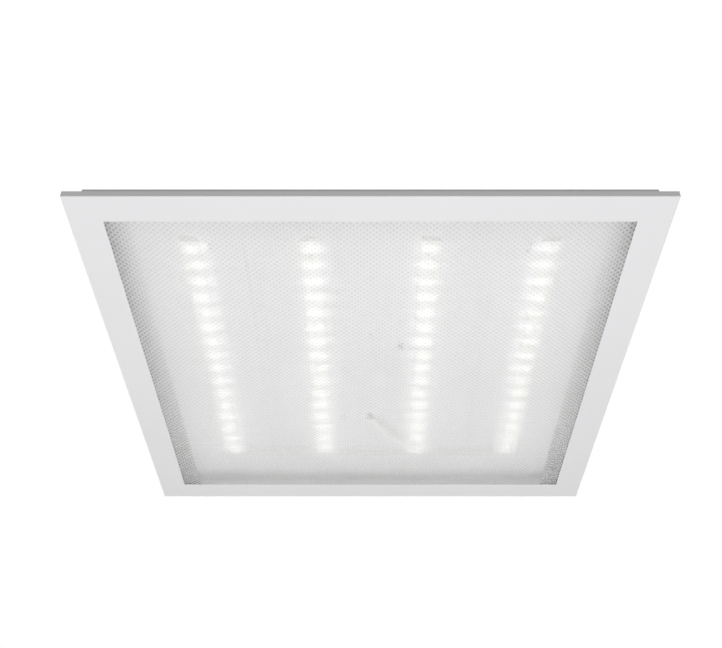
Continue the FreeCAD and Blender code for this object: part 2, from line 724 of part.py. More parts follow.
def box_rivets():
    """Rivets from inside the tray up through the driver box's floor."""
    fixing = rivet("one_box_rivet", "box_rivet_radius", "box_rivet_head", "box_rivet_head_height",
                   "tray_sheet + box_sheet", "box_rivet_tail", "box_rivet_tail_height")
    keep(copies("box_rivets", fixing, [(x, y, "tray_under", STRAIGHT) for x, y in box_rivet_places()]))


def grommets():
    """Rubber grommets: the mains inlet in the box's front wall, and one through the tray's top."""
    wall = "box_length/2"
    inner = f"-({wall}) + box_sheet"
    inlet = turned("inlet_grommet", [
        ("inlet_bore", f"-({wall}) - inlet_nose"), ("inlet_nose_radius", f"-({wall}) - inlet_nose"),
        ("inlet_collar", f"-({wall})"), ("inlet_neck", f"-({wall})"), ("inlet_neck", inner),
        ("inlet_collar", inner), ("inlet_collar", f"{inner} + inlet_collar_length"),
        ("inlet_bore", f"{inner} + inlet_collar_length")],
        plane="XY_Plane", z="tray_top + inlet_level")
    low, high = "tray_under - grommet_collar_height", "box_floor + grommet_collar_height"
    through = turned("tray_grommet", [
        ("grommet_bore", low), ("grommet_collar", low), ("grommet_collar", "tray_under"),
        ("grommet_neck", "tray_under"), ("grommet_neck", "box_floor"), ("grommet_collar", "box_floor"),
        ("grommet_collar", high), ("grommet_bore", high)], z="-(grommet_y)")
    keep(inlet, through)


# ---------------------------------------------------------------- LED driver

def driver_case():
    """Moulded case, open at the top, with a ledge for its board and an ear at each end."""
    case = start_body("driver_case")
    outline = sketch(case, "case_outline", y="driver_place", z="box_floor")
    rectangle(outline, "driver_width", "driver_length")
    pad(case, outline, "driver_height")
    dress(case, "Fillet", "driver_bend", lambda middle, along: abs(along.z) > 0.9)
    ears = sketch(case, "case_ears", z="box_floor")
    for _, place in driver_screw_places():
        rectangle(ears, "driver_ear_width", "driver_ear", "0", place)
    pad(case, ears, "driver_ear_height")
    cavity_sides = ("driver_width - 2*driver_wall", "driver_length - 2*driver_wall")
    for name, shrink, depth in (("upper", "0", "driver_height - driver_ledge_level"),
                                ("lower", "2*driver_ledge", "driver_height - driver_wall")):
        cavity = sketch(case, f"{name}_cavity", y="driver_place", z="box_floor + driver_height")
        rectangle(cavity, *(f"{side} - {shrink}" for side in cavity_sides))
        pocket(case, cavity, depth)
    leads = sketch(case, "case_lead_holes", "XZ_Plane", z="-driver_place")
    for sign in (-1, 1):
        circle(leads, "driver_hole", f"{sign}*driver_holes_apart/2", "box_floor + driver_hole_level")
    pocket(case, leads, "2*driver_length", middle=True)
    screws = sketch(case, "case_screw_holes", z="box_floor + driver_ear_height")
    for x, y in driver_screw_places():
        circle(screws, "driver_screw_radius + screw_slack", x, y)
    pocket(case, screws, "driver_ear_height")
    lid = start_body("driver_lid")
    sheet = sketch(lid, "lid_outline", y="driver_place", z="box_floor + driver_height")
    rectangle(sheet, "driver_width", "driver_length")
    pad(lid, sheet, "driver_lid")
    dress(lid, "Fillet", "driver_bend", lambda middle, along: abs(along.z) > 0.9)
    keep(case, lid)


def driver_parts():
    """Circuit board and its tall components, standing on the ledge inside the case."""
    slack = "2*driver_wall - 2*driver_board_slack"
    board = block("driver_board", f"driver_width - {slack}", f"driver_length - {slack}",
                  "driver_board_thickness", "0", "driver_place", "driver_board_level")
    windings = block("transformer_windings", "transformer_width", "transformer_length",
                     "transformer_height", "0", "driver_place + transformer_place", "driver_board_top")
    core = block("transformer_core", "transformer_width", "core_width",
                 "transformer_height + core_rise", "0", "driver_place + transformer_place",
                 "driver_board_top")
    can = cylinder("one_capacitor", "capacitor_radius", "capacitor_height", "0", "0", "0")
    choke = cut("driver_choke",
                cylinder("choke_ring", "choke_radius", "choke_height", "0",
                         "driver_place + choke_place", "driver_board_top"),
                cylinder("choke_hole", "choke_bore", "choke_height", "0",
                         "driver_place + choke_place", "driver_board_top"))
    keep(board, fuse("driver_transformer", [windings, core]), choke)
    keep(copies("driver_capacitors", can,
                [(f"{sign}*capacitors_apart/2", "driver_place + capacitor_place", "driver_board_top",
                  STRAIGHT) for sign in (-1, 1)]))
    screw = turned("one_driver_screw", [
        ("0", "-driver_screw_length"), ("driver_screw_radius", "-driver_screw_length"),
        ("driver_screw_radius", "0"), ("driver_screw_head", "0"),
        ("driver_screw_head", "driver_screw_head_height"), ("0", "driver_screw_head_height")])
    cross_recess(screw, "driver_screw_head_height")
    keep(copies("driver_screws", screw, [(x, y, "box_floor + driver_ear_height", STRAIGHT)
                                         for x, y in driver_screw_places()]))


# ---------------------------------------------------------------- mains terminal and earth point

def terminal_block():
    """Three-pole push terminal: a button on top of each pole, wire holes through front and rear."""
    terminal = start_body("terminal_block")
    outline = sketch(terminal, "block_outline", y="block_place", z="box_floor")
    rectangle(outline, "block_length", "block_depth")
    pad(terminal, outline, "block_height")
    top = value("block_top")
    dress(terminal, "Chamfer", "block_chamfer", lambda middle, along: middle.z > top - TOUCH)
    wells = sketch(terminal, "button_wells", y="block_place", z="block_top")
    wires = sketch(terminal, "wire_holes", "XZ_Plane", z="-block_place")
    cells = sketch(terminal, "clamp_cells", y="block_place", z="box_floor + wire_level + clamp_height/2"
                   " + clamp_slack")
    for number in range(1, POLES + 1):
        rectangle(wells, "button_side + 2*button_slack", "button_side + 2*button_slack", pole_x(number))
        circle(wires, "wire_hole", pole_x(number), "box_floor + wire_level")
        rectangle(cells, "clamp_width + 2*clamp_slack", "clamp_depth + 2*clamp_slack", pole_x(number))
    pocket(terminal, wells, "button_stem + button_travel + button_slack")
    pocket(terminal, wires, "2*block_depth", middle=True)
    pocket(terminal, cells, "wire_level + clamp_height/2 + clamp_slack")
    keep(terminal)


def terminal_button(number):
    """A push button that travels down into its well."""
    button = start_body(f"terminal_button_{number}")
    outline = sketch(button, f"button_outline_{number}", y="block_place", z="block_top - button_stem")
    rectangle(outline, "button_side", "button_side", pole_x(number))
    pad(button, outline, "button_stem + button_rise")
    top = value("block_top + button_rise")
    dress(button, "Chamfer", "button_chamfer", lambda middle, along: middle.z > top - TOUCH)
    keep(button)


def terminal_clamps():
    """The brass clamp in each pole, bored for its wires."""
    clamp = start_body("one_clamp")
    outline = sketch(clamp, "clamp_outline", z="-clamp_height/2")
    rectangle(outline, "clamp_width", "clamp_depth")
    pad(clamp, outline, "clamp_height")
    bore = sketch(clamp, "clamp_bore", "XZ_Plane")
    circle(bore, "wire_hole")
    pocket(clamp, bore, "2*clamp_depth", middle=True)
    keep(copies("terminal_clamps", clamp,
                [(pole_x(number), "block_place", "box_floor + wire_level", STRAIGHT)
                 for number in range(1, POLES + 1)]))


def earth_point():
    """Earth stud through the box's floor, with its nut and the lug under it."""
    stud = turned("earth_stud", [
        ("0", "tray_under - stud_head_height"), ("stud_head", "tray_under - stud_head_height"),
        ("stud_head", "tray_under"), ("stud_radius", "tray_under"),
        ("stud_radius", "box_floor + stud_rise"), ("0", "box_floor + stud_rise")],
        x="stud_x", z="-(stud_y)")
    nut = hex_nut("earth_nut", "earth_nut_across", "earth_nut_height", "stud_radius + stud_slack",
                  "stud_x", "stud_y", "box_floor + lug_thickness")
    lug = start_body("earth_lug")
    ring = sketch(lug, "lug_ring", x="stud_x", y="stud_y", z="box_floor")
    circle(ring, "lug_radius")
    pad(lug, ring, "lug_thickness")
    neck = sketch(lug, "lug_neck", x="stud_x", y="stud_y", z="box_floor")
    rectangle(neck, "lug_neck", "lug_reach - lug_barrel_length/2", "0",
              "-(lug_reach - lug_barrel_length/2)/2")
    pad(lug, neck, "lug_thickness")
    barrel = sketch(lug, "lug_barrel", "XZ_Plane", x="stud_x", y="lug_axis", z="lug_reach - stud_y")
    circle(barrel, "lug_barrel")
    pad(lug, barrel, "lug_barrel_length", flip=True)
    hole = sketch(lug, "lug_hole", x="stud_x", y="stud_y", z="box_floor + lug_thickness")
    circle(hole, "stud_radius + stud_slack")
    pocket(lug, hole, "lug_thickness")
    bore = sketch(lug, "lug_bore", "XZ_Plane", x="stud_x", y="lug_axis", z="lug_reach - stud_y")
    circle(bore, "lug_bore")
    pocket(lug, bore, "lug_barrel_length")
    keep(stud, nut, lug)


# ---------------------------------------------------------------- leads

def tube(radius, route):
    """A round lead along straight runs joined by tangent arcs, and the least radius of its arcs."""
    corners = [Vector(*(value(part) for part in point)) for point in route]
    edges, radii, start = [], [], corners[0]
    for before, corner, after in zip(corners, corners[1:], corners[2:]):
        back, ahead = before - corner, after - corner
        turn = math.pi - back.getAngle(ahead)
        trim = 0.45 * min(back.Length, ahead.Length)
        radii.append(trim / math.tan(turn / 2))
        back.normalize()
        ahead.normalize()
        arc_start, arc_end = corner + back * trim, corner + ahead * trim
        bisector = (back + ahead).normalize()
        middle = corner + bisector * (radii[-1] / math.cos(turn / 2) - radii[-1])
        edges.append(Part.LineSegment(start, arc_start).toShape())
        edges.append(Part.Arc(arc_start, middle, arc_end).toShape())
        start = arc_end
    edges.append(Part.LineSegment(start, corners[-1]).toShape())
    path = Part.Wire(edges)
    section = Part.Wire(Part.Circle(corners[0], corners[1] - corners[0], value(radius)).toShape())
    solid = path.makePipeShell([section], True, False)
    expected = math.pi * value(radius) ** 2 * path.Length
    if abs(solid.Volume - expected) > VOLUME_SHARE * expected:
        raise ValueError("a lead's tube has the wrong volume")
    return solid, min(radii)


def lead(name, radius, routes):
    """One node of leads, each along its own route."""
    tubes = [tube(radius, route) for route in routes]
    print(f"{name}: least bend radius {min(least for _, least in tubes):.1f} mm")
    node = DOC.addObject("Part::Feature", name)
    node.Label = name
    node.Shape = tubes[0][0] if len(tubes) == 1 else Part.Compound([solid for solid, _ in tubes])
    node.Placement = Placement()
    keep(node)


def mains_leads():
    """Live and neutral from the terminal to the driver, and the earth lead to its lug."""
    low, high = "box_floor + wire_level", "box_floor + driver_hole_level"
    for name, pole, sign in (("live_lead", 1, -1), ("neutral_lead", 2, 1)):
        inlet = f"{sign}*driver_holes_apart/2"
        lead(name, "mains_lead", [[
            (pole_x(pole), "block_rear - lead_entry", low),
            (pole_x(pole), "block_rear + lead_straight", low),
            (inlet, "driver_start - lead_straight", high),
            (inlet, "driver_start + driver_wall + lead_entry/2", high)]])
    lead("earth_lead", "mains_lead", [[
        (pole_x(3), "block_rear - lead_entry", low),
        (pole_x(3), "block_rear + lead_straight", low),
        ("stud_x", "stud_y - lug_reach - earth_straight", "lug_axis"),
        ("stud_x", "stud_y - lug_reach + lead_entry/2", "lug_axis")]])


def output_leads():
    """A pair from the driver down through the tray's grommet to the connector of the third board."""
    routes = []
    for sign in (-1, 1):
        side = f"{sign}*driver_holes_apart/2"
        beside = f"{sign}*(output_lead + output_apart)"
        end = f"({board_x(3)}) + {sign}*connector_inlets_apart/2"
        routes.append([
            (side, "driver_end - driver_wall - output_entry", "box_floor + driver_hole_level"),
            (beside, "grommet_y", "box_floor + driver_hole_level + output_rise"),
            (beside, "grommet_y", "tray_under - output_drop"),
            (f"({board_x(3)})/2 + {sign}*output_spread",
             f"(grommet_y + connector_y)/2 - {sign}*output_spread",
             "tray_under - output_drop + output_rise"),
            (end, f"connector_front - lead_straight - {sign}*output_spread",
             "connector_level - output_rise"),
            (end, "connector_front + output_entry", "connector_level")])
    lead("output_leads", "output_lead", routes)


def jumper_leads():
    """A pair of leads from each board's connector to the next, bowed a little."""
    routes = []
    for number in range(1, BOARDS):
        start = f"({board_x(number)}) + connector_width/2 - jumper_entry"
        end = f"({board_x(number + 1)}) - connector_width/2 + jumper_entry"
        for sign in (-1, 1):
            row = f"connector_y + {sign}*connector_holes_apart/2"
            bowed = f"{row} + {sign}*jumper_bow"
            bends = [f"({start})*{1 - share} + ({end})*{share}" for share in JUMPER_BENDS]
            routes.append([(start, row, "connector_level")]
                          + [(bend, bowed, "connector_level") for bend in bends]
                          + [(end, row, "connector_level")])
    lead("jumper_leads", "output_lead", routes)


# ---------------------------------------------------------------- hangers and grid clips

def hanger_brackets():
    """Four stepped brackets with a hole for a hanging wire, each on two rivets."""
    bracket = start_body("one_hanger")
    profile = sketch(bracket, "hanger_profile", "XZ_Plane")
    riser = "hanger_back - hanger_sheet"
    under = "hanger_rise - hanger_sheet"
    polygon(profile, [(riser, "0"), ("hanger_back + hanger_foot", "0"),
                      ("hanger_back + hanger_foot", "hanger_sheet"), ("hanger_back", "hanger_sheet"),
                      ("hanger_back", "hanger_rise"), ("-hanger_front", "hanger_rise"),
                      ("-hanger_front", under), (riser, under)])
    pad(bracket, profile, "hanger_width", middle=True)
    hole = sketch(bracket, "hanging_hole", z="hanger_rise")
    circle(hole, "hanger_hole")
    pocket(bracket, hole, "hanger_sheet")
    feet = sketch(bracket, "foot_holes", z="hanger_sheet")
    for sign in (-1, 1):
        circle(feet, "box_rivet_radius + rivet_slack", "hanger_back + hanger_foot/2",
               f"{sign}*hanger_rivets_apart/2")
    pocket(bracket, feet, "hanger_sheet")
    keep(copies("hanger_brackets", bracket,
                [(f"{a}*hanger_spread_x/2", f"{b}*hanger_spread_y/2", "tray_top",
                  turn_about_z(0 if a > 0 else 180)) for a, b in signs()]))
    fixing = rivet("one_hanger_rivet", "box_rivet_radius", "box_rivet_head", "box_rivet_head_height",
                   "tray_sheet + hanger_sheet", "box_rivet_tail", "box_rivet_tail_height")
    keep(copies("hanger_rivets", fixing,
                [(x, y, "tray_under", STRAIGHT) for x, y in hanger_rivet_places()]))


def grid_clip(number, place):
    """A stepped arm that swings out over the ceiling's tee bar; it is stowed along the tray's side."""
    clip = start_body(f"grid_clip_{number}")
    x, y = place
    inward = 1 if value(y) < 0 else -1
    profile = sketch(clip, f"clip_profile_{number}", "YZ_Plane", x=y, y="tray_top", z=x)
    shape = [("-clip_width/2", "0"), ("clip_foot", "0"), ("clip_foot", "clip_rise"),
             ("clip_reach", "clip_rise"), ("clip_reach", "clip_rise + clip_sheet"),
             ("clip_foot - clip_sheet", "clip_rise + clip_sheet"), ("clip_foot - clip_sheet", "clip_sheet"),
             ("-clip_width/2", "clip_sheet")]
    polygon(profile, [(f"{inward}*({along})", up) for along, up in shape])
    pad(clip, profile, "clip_width", middle=True)
    corner = value("clip_width") / 2
    centre_y = value(y)
    dress(clip, "Fillet", "clip_width/2 - pivot_slack",
          lambda middle, along: abs(along.z) > 0.9 and
          abs(abs(middle.y - centre_y) - corner) < TOUCH and (middle.y - centre_y) * inward < 0)
    hole = sketch(clip, f"clip_hole_{number}", x=x, y=y, z="tray_top + clip_sheet")
    circle(hole, "pivot_radius + pivot_slack")
    pocket(clip, hole, "clip_sheet")
    keep(clip)


def clip_pivots():
    """Shouldered rivets that the grid clips turn on."""
    fixing = turned("one_pivot", [
        ("0", "-pivot_tail_height"), ("pivot_tail", "-pivot_tail_height"), ("pivot_tail", "0"),
        ("pivot_radius", "0"), ("pivot_radius", "tray_sheet + clip_sheet + pivot_play"),
        ("pivot_head", "tray_sheet + clip_sheet + pivot_play"),
        ("pivot_head", "tray_sheet + clip_sheet + pivot_play + pivot_head_height"),
        ("0", "tray_sheet + clip_sheet + pivot_play + pivot_head_height")])
    keep(copies("clip_pivots", fixing, [(x, y, "tray_under", STRAIGHT) for x, y in clip_places()]))


# ---------------------------------------------------------------- the whole light

def build():
    """Make every sub-part."""
    fill_sheet()
    front_frame()
    lens_and_gasket()
    back_tray()
    cleats_and_screws()
    for number in range(1, BOARDS + 1):
        led_board(number)
    leds()
    board_fixings()
    driver_box()
    box_cover()
    hinge_pin()
    closing_screw()
    box_rivets()
    grommets()
    driver_case()
    driver_parts()
    terminal_block()
    for number in range(1, POLES + 1):
        terminal_button(number)
    terminal_clamps()
    earth_point()
    mains_leads()
    output_leads()
    jumper_leads()
    hanger_brackets()
    for number, place in enumerate(clip_places(), start=1):
        grid_clip(number, place)
    clip_pivots()
    DOC.recompute()


def check():
    """Stop unless every object is sound and every sub-part has a valid shape."""
    for item in DOC.Objects:
        if "Invalid" in item.State or "Error" in item.State:
            raise ValueError(f"{item.Name} failed")
    for name, item in NODES.items():
        if item.Shape.isNull() or not item.Shape.isValid() or not item.Shape.Solids:
            raise ValueError(f"{name} has no valid shape")


def export():
    """Write each sub-part to its own file."""
    os.makedirs("parts", exist_ok=True)
    for name, item in NODES.items():
        item.Shape.exportStep(f"parts/{name}.step")
        box = item.Shape.BoundBox
        print(f"{name}: {len(item.Shape.Solids)} solids, "
              f"x {box.XMin:.1f} {box.XMax:.1f}, y {box.YMin:.1f} {box.YMax:.1f}, "
              f"z {box.ZMin:.1f} {box.ZMax:.1f}")


build()
check()
export()
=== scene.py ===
"""A recessed LED troffer light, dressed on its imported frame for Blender 4.5.

Metres throughout, +Z up. The lit face looks down at z = 0 and the driver box stands on the tray's back.
"""

from __future__ import annotations

import logging
import math
from collections.abc import Callable
from dataclasses import dataclass
from enum import Enum
from functools import cached_property
from typing import Any

import bpy
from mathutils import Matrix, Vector


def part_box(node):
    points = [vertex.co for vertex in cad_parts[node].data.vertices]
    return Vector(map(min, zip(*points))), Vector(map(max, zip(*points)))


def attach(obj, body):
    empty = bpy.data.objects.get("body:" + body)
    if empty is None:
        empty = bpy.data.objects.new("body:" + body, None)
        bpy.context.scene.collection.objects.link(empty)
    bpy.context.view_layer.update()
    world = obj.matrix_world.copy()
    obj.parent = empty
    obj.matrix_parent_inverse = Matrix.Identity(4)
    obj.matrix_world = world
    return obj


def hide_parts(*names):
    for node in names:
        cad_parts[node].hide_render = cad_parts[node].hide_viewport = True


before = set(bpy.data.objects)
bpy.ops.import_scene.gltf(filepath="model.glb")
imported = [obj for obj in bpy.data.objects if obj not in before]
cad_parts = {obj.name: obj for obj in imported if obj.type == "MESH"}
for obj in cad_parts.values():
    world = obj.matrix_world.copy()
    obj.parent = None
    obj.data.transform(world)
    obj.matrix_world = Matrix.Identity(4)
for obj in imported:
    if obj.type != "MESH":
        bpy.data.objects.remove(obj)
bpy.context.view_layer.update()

MM = 0.001
PHOTO_WIDTH = 722
BOARDS = range(1, 5)
LOG = logging.getLogger("troffer")

Triple = tuple[float, float, float]
Pair = tuple[float, float]
Colour = Triple


# ---------------------------------------------------------------- hand tools


def deselect() -> None:
    """Leaves object mode with nothing selected."""
    if bpy.context.object and bpy.context.object.mode != "OBJECT":
        bpy.ops.object.mode_set(mode="OBJECT")
    bpy.ops.object.select_all(action="DESELECT")


def take(thing: bpy.types.Object) -> None:
    """Selects only this object and makes it active.

    Args:
        thing: The object to work on.
    """
    deselect()
    thing.select_set(True)
    bpy.context.view_layer.objects.active = thing


def named(name: str) -> bpy.types.Object:
    """Names the active object and its mesh.

    Args:
        name: The name for both.

    Returns:
        The active object.
    """
    thing = bpy.context.object
    thing.name = thing.data.name = name
    return thing


def settle(thing: bpy.types.Object) -> None:
    """Moves an object's place, turn and scale into its mesh."""
    take(thing)
    bpy.ops.object.transform_apply(location=True, rotation=True, scale=True)


def apply_modifiers(thing: bpy.types.Object) -> None:
    """Applies every modifier of an object, in order.

    Args:
        thing: The object whose modifiers are applied.
    """
    take(thing)
    for modifier in list(thing.modifiers):
        bpy.ops.object.modifier_apply(modifier=modifier.name)


class Part(Enum):
    """The kind of mesh element that a test picks."""

    VERTEX = 0
    EDGE = 1
    FACE = 2


def pick(thing: bpy.types.Object, part: Part, test: Callable[[Any], bool]) -> None:
    """Opens a mesh in edit mode with only the elements that pass a test selected.

    Args:
        thing: The object to open.
        part: Whether the test reads vertices, edges or faces.
        test: Takes one element and says whether it is wanted.
    """
    take(thing)
    bpy.context.tool_settings.mesh_select_mode = [part is kind for kind in Part]
    groups = (thing.data.vertices, thing.data.edges, thing.data.polygons)
    for group in groups:
        group.foreach_set("select", [False] * len(group))
    for element in groups[part.value]:
        element.select = bool(test(element))
    bpy.ops.object.mode_set(mode="EDIT")


def done() -> None:
    """Goes back to object mode."""
    bpy.ops.object.mode_set(mode="OBJECT")


# ---------------------------------------------------------------- wiring


class Wiring:
    """The node tree of a material or of the world while it is wired up."""

    def __init__(self, tree: bpy.types.NodeTree) -> None:
        """Takes up a node tree."""
        self.tree = tree

    def add(self, kind: str, **settings: Any) -> bpy.types.Node:
        """Adds a node and sets its properties.

        Args:
            kind: The node's type name.
            **settings: Properties by name.

        Returns:
            The new node.
        """
        node = self.tree.nodes.new(kind)
        for name, value in settings.items():
            setattr(node, name, value)
        return node

    def feed(self, node: bpy.types.Node, values: dict[str | int, Any]) -> bpy.types.Node:
        """Sets or links a node's inputs.

        Args:
            node: The node to feed.
            values: A plain value, or the socket to link, for each input's name or number.

        Returns:
            The same node.
        """
        for name, value in values.items():
            if isinstance(value, bpy.types.NodeSocket):
                self.tree.links.new(value, node.inputs[name])
            else:
                node.inputs[name].default_value = value
        return node

    def sum(self, operation: str, *values: Any) -> bpy.types.NodeSocket:
        """Returns what a Math node's operation makes of sockets or plain values."""
        node = self.add("ShaderNodeMath", operation=operation)
        return self.feed(node, dict(enumerate(values))).outputs[0]

    def by_ray(self, plain: float, mirrored: float, seen: float) -> bpy.types.NodeSocket:
        """Wires a level that depends on the kind of ray that asks for it.

        Args:
            plain: The level for the light that falls on the object.
            mirrored: The level that gloss and clear plastic show.
            seen: The level that the camera sees.

        Returns:
            The level's socket.
        """
        path = self.add("ShaderNodeLightPath").outputs
        through = self.sum("MAXIMUM", path["Is Glossy Ray"], path["Is Transmission Ray"])
        level = self.sum("MULTIPLY_ADD", through, mirrored - plain, plain)
        return self.sum("MULTIPLY_ADD", path["Is Camera Ray"], seen - plain, level)


class Surface(Wiring):
    """A material while it is wired up round its Principled shader, on Object coordinates."""

    ONE_COLOUR, OTHER_COLOUR, MIXED_COLOUR = 6, 7, 2

    def __init__(self, name: str) -> None:
        """Starts a material.

        Args:
            name: The material's name.
        """
        self.material = bpy.data.materials.new(name)
        self.material.use_nodes = True
        super().__init__(self.material.node_tree)
        self.shader = self.tree.nodes["Principled BSDF"]
        self.place = self.add("ShaderNodeTexCoord").outputs["Object"]

    def coat(self, values: dict[str, Any]) -> None:
        """Sets or links the shader's own inputs."""
        self.feed(self.shader, values)

    def along(self, axis: str) -> bpy.types.NodeSocket:
        """Returns the place along X, Y or Z."""
        return self.feed(self.add("ShaderNodeSeparateXYZ"), {0: self.place}).outputs[axis]

    def noise(self, size: float, detail: float = 3.0) -> bpy.types.NodeSocket:
        """Returns soft noise whose blotches are about `size` metres across."""
        values = {"Vector": self.place, "Scale": 1 / size, "Detail": detail}
        return self.feed(self.add("ShaderNodeTexNoise"), values).outputs["Fac"]

    def crystals(self, size: float) -> bpy.types.NodeSocket:
        """Returns a level of its own for each crystal, about `size` metres across."""
        values = {"Vector": self.place, "Scale": 1 / size}
        return self.feed(self.add("ShaderNodeTexVoronoi"), values).outputs["Color"]

    def spread(
        self, value: Any, low: float, high: float, start: float = 0.0, end: float = 1.0
    ) -> bpy.types.NodeSocket:
        """Spreads a range of a value over another range.

        Args:
            value: The value's socket.
            low: What the range's start becomes.
            high: What the range's end becomes.
            start: The range's start.
            end: The range's end.

        Returns:
            The new value's socket.
        """
        limits = {"From Min": start, "From Max": end, "To Min": low, "To Max": high}
        return self.feed(self.add("ShaderNodeMapRange"), {"Value": value, **limits}).outputs["Result"]

    def about(self, pattern: Any, middle: float, wander: Pair) -> bpy.types.NodeSocket:
        """Returns a level that a pattern takes a little below and above a middle one."""
        return self.spread(pattern, middle + wander[0], middle + wander[1])

    def blend(self, share: Any, one: Any, other: Any) -> bpy.types.NodeSocket:
        """Blends two colours.

        Args:
            share: How far to go from the first colour to the second, from 0 to 1.
            one: The first colour, or its socket.
            other: The second colour, or its socket.

        Returns:
            The blended colour's socket.
        """
        one, other = ((*end, 1.0) if isinstance(end, tuple) else end for end in (one, other))
        values = {0: share, self.ONE_COLOUR: one, self.OTHER_COLOUR: other}
        mix = self.feed(self.add("ShaderNodeMix", data_type="RGBA"), values)
        return mix.outputs[self.MIXED_COLOUR]

    def shaded(self, pattern: Any, colour: Colour, shades: Pair) -> bpy.types.NodeSocket:
        """Returns a colour that a pattern takes from a darker to a lighter shade."""
        return self.blend(pattern, shade(colour, shades[0]), shade(colour, shades[1]))

    def lattice(self, step: float) -> bpy.types.NodeSocket:
        """Wires a wave that is 1 at each tip of a diagonal lattice and -1 midway between tips.

        Args:
            step: Half the way between two tips along X or Y, in metres.

        Returns:
            The wave's socket.
        """
        turns = [self.sum("MULTIPLY", self.along(axis), math.pi / step) for axis in "XY"]
        waves = [self.sum("COSINE", turn) for turn in turns]
        return self.sum("MULTIPLY", *waves)

    def relief(self, height: Any, depth: float) -> None:
        """Gives the shader a bump of a height pattern, `depth` metres from lowest to highest."""
        bump = self.feed(self.add("ShaderNodeBump"), {"Height": height, "Distance": depth})
        self.coat({"Normal": bump.outputs["Normal"]})


def shade(colour: Colour, factor: float) -> Colour:
    """Returns a colour made lighter or darker by a factor."""
    return tuple(min(1.0, channel * factor) for channel in colour)


# ---------------------------------------------------------------- finishes


class Finish:
    """A surface finish. Each kind wires its own look on top of this."""

    name: str

    @cached_property
    def material(self) -> bpy.types.Material:
        """Wires the finish the first time it is asked for.

        Returns:
            The finish as a material.
        """
        surface = Surface(self.name)
        self.wire(surface)
        return surface.material

    def wire(self, surface: Surface) -> None:
        """Wires the finish's nodes."""
        raise NotImplementedError


@dataclass(frozen=True)
class Paint(Finish):
    """Baked powder paint: an even colour that wanders a little, over fine orange peel."""

    name: str
    colour: Colour
    roughness: float = 0.42
    wander: Pair = (-0.06, 0.06)
    shades: Pair = (0.975, 1.015)
    cloud: float = 120.0 * MM
    gloss_patch: float = 30.0 * MM
    peel: float = 1.6 * MM
    peel_depth: float = 0.02 * MM

    def wire(self, surface: Surface) -> None:
        """Wires a clouded colour over orange peel.

        Args:
            surface: The material to wire.
        """
        cloud, gloss = surface.noise(self.cloud, detail=4.0), surface.noise(self.gloss_patch)
        surface.coat({
            "Base Color": surface.shaded(cloud, self.colour, self.shades),
            "Roughness": surface.about(gloss, self.roughness, self.wander),
        })
        surface.relief(surface.noise(self.peel, detail=2.0), self.peel_depth)


@dataclass(frozen=True)
class Moulded(Finish):
    """Moulded plastic, rubber or foam with the grain of its tool."""

    name: str
    colour: Colour
    roughness: float = 0.5
    grain: float = 0.5 * MM
    grain_depth: float = 0.02 * MM
    speckle: float = 0.05
    grains_per_speck: float = 6
    grains_per_gloss_patch: float = 20
    wander: Pair = (-0.08, 0.08)

    def wire(self, surface: Surface) -> None:
        """Wires a lightly speckled colour over a fine grain.

        Args:
            surface: The material to wire.
        """
        specks = surface.noise(self.grain * self.grains_per_speck)
        gloss = surface.noise(self.grain * self.grains_per_gloss_patch)
        surface.coat({
            "Base Color": surface.shaded(specks, self.colour, (1 - self.speckle, 1 + self.speckle)),
            "Roughness": surface.about(gloss, self.roughness, self.wander),
        })
        surface.relief(surface.noise(self.grain, detail=2.0), self.grain_depth)


class Skin(Enum):
    """What the skin of a metal shows from close by."""

    SPANGLE = "zinc crystals"
    PLATED = "a bright smooth plating"


@dataclass(frozen=True)
class Metal(Finish):
    """Bare or plated metal."""

    name: str
    colour: Colour
    skin: Skin
    roughness: float = 0.3
    crystal: float = 7.0 * MM
    plating_patch: float = 2.0 * MM
    wander: Pair = (-0.07, 0.09)
    shades: Pair = (0.88, 1.06)
    pitting: float = 0.4 * MM
    pitting_depth: float = 0.004 * MM

    def wire(self, surface: Surface) -> None:
        """Wires the metal's skin into its colour, gloss and relief.

        Args:
            surface: The material to wire.
        """
        if self.skin is Skin.SPANGLE:
            pattern = surface.crystals(self.crystal)
        else:
            pattern = surface.noise(self.plating_patch)
        surface.coat({
            "Base Color": surface.shaded(pattern, self.colour, self.shades),
            "Roughness": surface.about(pattern, self.roughness, self.wander),
            "Metallic": 1.0,
        })
        surface.relief(surface.noise(self.pitting), self.pitting_depth)


@dataclass(frozen=True)
class TwoTone(Finish):
    """One finish below a level and another above it, such as a can's sleeve and its bare top."""

    name: str
    below: Colour
    above: Colour
    level: float
    metal_above: float = 1.0
    roughness: float = 0.35
    wander: Pair = (-0.08, 0.08)
    shades: Pair = (0.93, 1.05)
    grain: float = 1.0 * MM
    grain_depth: float = 0.01 * MM

    def wire(self, surface: Surface) -> None:
        """Wires a sharp change of finish at one height.

        Args:
            surface: The material to wire.
        """
        high = surface.sum("GREATER_THAN", surface.along("Z"), self.level)
        grain = surface.noise(self.grain)
        below, above = (surface.shaded(grain, tone, self.shades) for tone in (self.below, self.above))
        surface.coat({
            "Base Color": surface.blend(high, below, above),
            "Metallic": surface.spread(high, 0.0, self.metal_above),
            "Roughness": surface.about(grain, self.roughness, self.wander),
        })
        surface.relief(grain, self.grain_depth)


